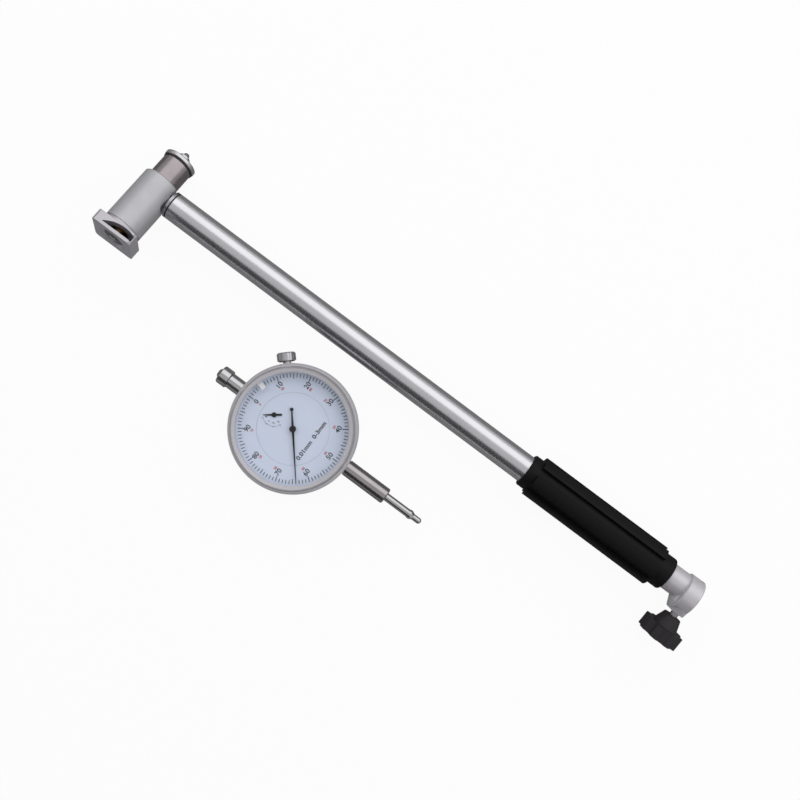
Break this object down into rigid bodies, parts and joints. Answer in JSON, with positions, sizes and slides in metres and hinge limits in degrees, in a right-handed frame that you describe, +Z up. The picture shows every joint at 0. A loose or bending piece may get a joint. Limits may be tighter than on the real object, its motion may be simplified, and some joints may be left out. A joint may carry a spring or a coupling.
{
  "type": "dial bore gauge",
  "caption": "Bore gauge with a sprung two-point head on a long tube, ribbed grip and clamping socket, its dial indicator taken off and lying beside it.",
  "frame": {"origin": "middle of the bottom of the whole object's bounding box, on the surface that it lies on", "axes": "+X along the tube from the measuring head to the indicator socket, +Y to the side of the fixed anvil, +Z up"},
  "size_m": [0.3346, 0.1046, 0.032],
  "materials": {
    "satin_steel": "satin ground",
    "dark_satin_steel": "satin ground, warmer grey",
    "knurled_steel": "fine knurl",
    "hardened_steel": "polished",
    "carbide": "polished hard metal",
    "spring_steel": "drawn wire",
    "black_rubber": "matt",
    "brass": "turned",
    "black_plastic": "fine texture",
    "satin_aluminium": "bead blasted",
    "painted_case": "satin",
    "blued_screws": "blued",
    "satin_chrome": "satin",
    "dial_print": "matt white with printed scale",
    "clear_acrylic": "clear",
    "white_plastic": "gloss",
    "black_enamel": "satin"
  },
  "bodies": {
    "gauge": {"head_barrel": "satin_steel", "anvil_sleeve": "dark_satin_steel", "anvil_seal": "black_rubber", "anvil_lock_nut": "knurled_steel", "fixed_anvil": "hardened_steel", "anvil_tip": "carbide", "bridge_spring": "spring_steel", "contact_bush": "brass", "lever_pin": "hardened_steel", "neck_collar": "satin_steel", "neck_seal": "black_rubber", "tube": "satin_steel", "rod_guides": "brass", "rod_spring": "spring_steel", "grip": "black_plastic", "indicator_socket": "satin_aluminium", "dial_case": "painted_case", "back_cover": "painted_case", "back_cover_screws": "blued_screws", "bezel_lock_shoe": "knurled_steel", "dial_centre_disc": "dial_print", "stem": "satin_steel", "upper_stem": "satin_steel", "spindle_cap": "hardened_steel", "return_spring": "spring_steel", "movement_top_plate": "brass", "movement_bottom_plate": "brass", "movement_pillars": "brass", "movement_screws": "blued_screws", "hairspring": "spring_steel"},
    "bridge": {"centring_bridge": "satin_steel", "bridge_guide_pin": "hardened_steel"},
    "contact": {"contact_plunger": "hardened_steel", "contact_tip": "carbide"},
    "lever": {"bell_crank": "hardened_steel"},
    "rod": {"push_rod": "hardened_steel"},
    "clamp_foot": {"clamp_pad": "brass"},
    "clamp_knob": {"clamp_knob": "black_plastic", "clamp_screw": "hardened_steel"},
    "spindle": {"spindle": "hardened_steel", "spindle_guide_pin": "hardened_steel", "contact_point": "hardened_steel"},
    "centre_hand": {"centre_pinion": "brass", "main_hand": "black_enamel"},
    "transfer": {"transfer_gear": "brass"},
    "take_up": {"take_up_gear": "brass", "small_hand": "black_enamel"},
    "bezel": {"bezel": "satin_chrome", "crystal": "clear_acrylic", "dial_ring": "dial_print"},
    "marker": {"limit_marker": "white_plastic"},
    "lock_screw": {"bezel_lock_screw": "knurled_steel"}
  },
  "joints": [
    {"name": "bridge_slide", "type": "slide", "parent": "gauge", "child": "bridge", "axis": [0, 0.9563, -0.2924], "range_m": [0, 0.0016], "stiffness_N_per_m": 1500, "springref_m": -0.003, "deforming": ["bridge_spring"]},
    {"name": "contact_slide", "type": "slide", "parent": "gauge", "child": "contact", "axis": [0, 0.9563, -0.2924], "range_m": [0, 0.0012]},
    {"name": "lever_turn", "type": "hinge", "parent": "gauge", "child": "lever", "pos_m": [-0.15284, 0.02424, 0.01482], "axis": [0, 0.2924, 0.9563], "range_deg": [-17.24, 0]},
    {"name": "rod_slide", "type": "slide", "parent": "gauge", "child": "rod", "axis": [1, 0, 0], "range_m": [0, 0.0012], "stiffness_N_per_m": 2000, "springref_m": -0.0015, "deforming": ["rod_spring"]},
    {"name": "clamp_advance", "type": "slide", "parent": "gauge", "child": "clamp_foot", "axis": [0, 0.9902, 0.1397], "range_m": [-0.00059, 0.00059]},
    {"name": "clamp_turn", "type": "hinge", "parent": "clamp_foot", "child": "clamp_knob", "pos_m": [0.15726, 0.02807, 0.01366], "axis": [0, 0.9902, 0.1397], "range_deg": [-265, 265]},
    {"name": "spindle_slide", "type": "slide", "parent": "gauge", "child": "spindle", "axis": [-1, 0, 0], "range_m": [0, 0.003], "stiffness_N_per_m": 200, "springref_m": -0.003, "deforming": ["return_spring"]},
    {"name": "transfer_turn", "type": "hinge", "parent": "gauge", "child": "transfer", "pos_m": [-0.02753, -0.02473, 0.0119], "axis": [0, 0, 1], "range_deg": [0, 108.05]},
    {"name": "centre_turn", "type": "hinge", "parent": "gauge", "child": "centre_hand", "pos_m": [-0.03814, -0.02183, 0], "axis": [0, 0, 1], "range_deg": [-1080.5, 0]},
    {"name": "take_up_turn", "type": "hinge", "parent": "gauge", "child": "take_up", "pos_m": [-0.04914, -0.02183, 0.0119], "axis": [0, 0, 1], "range_deg": [0, 108.05], "deforming": ["hairspring"]},
    {"name": "bezel_turn", "type": "hinge", "parent": "gauge", "child": "bezel", "pos_m": [-0.03814, -0.02183, 0], "axis": [0, 0, 1], "continuous": true},
    {"name": "marker_turn", "type": "hinge", "parent": "bezel", "child": "marker", "pos_m": [-0.03814, -0.02183, 0], "axis": [0, 0, 1], "range_deg": [-60, 60]},
    {"name": "lock_screw_turn", "type": "hinge", "parent": "gauge", "child": "lock_screw", "pos_m": [-0.03814, -0.02183, 0.0087], "axis": [0.6845, -0.729, 0], "range_deg": [0, 90]}
  ],
  "couplings": [
    {"joint": "contact_slide", "follows": "rod_slide", "ratio": 1},
    {"joint": "lever_turn", "follows": "rod_slide", "rad_per_m": -250},
    {"joint": "clamp_turn", "follows": "clamp_advance", "rad_per_m": 7854},
    {"joint": "transfer_turn", "follows": "spindle_slide", "rad_per_m": 628.32},
    {"joint": "centre_turn", "follows": "spindle_slide", "rad_per_m": -6283.2},
    {"joint": "take_up_turn", "follows": "spindle_slide", "rad_per_m": 628.32}
  ]
}
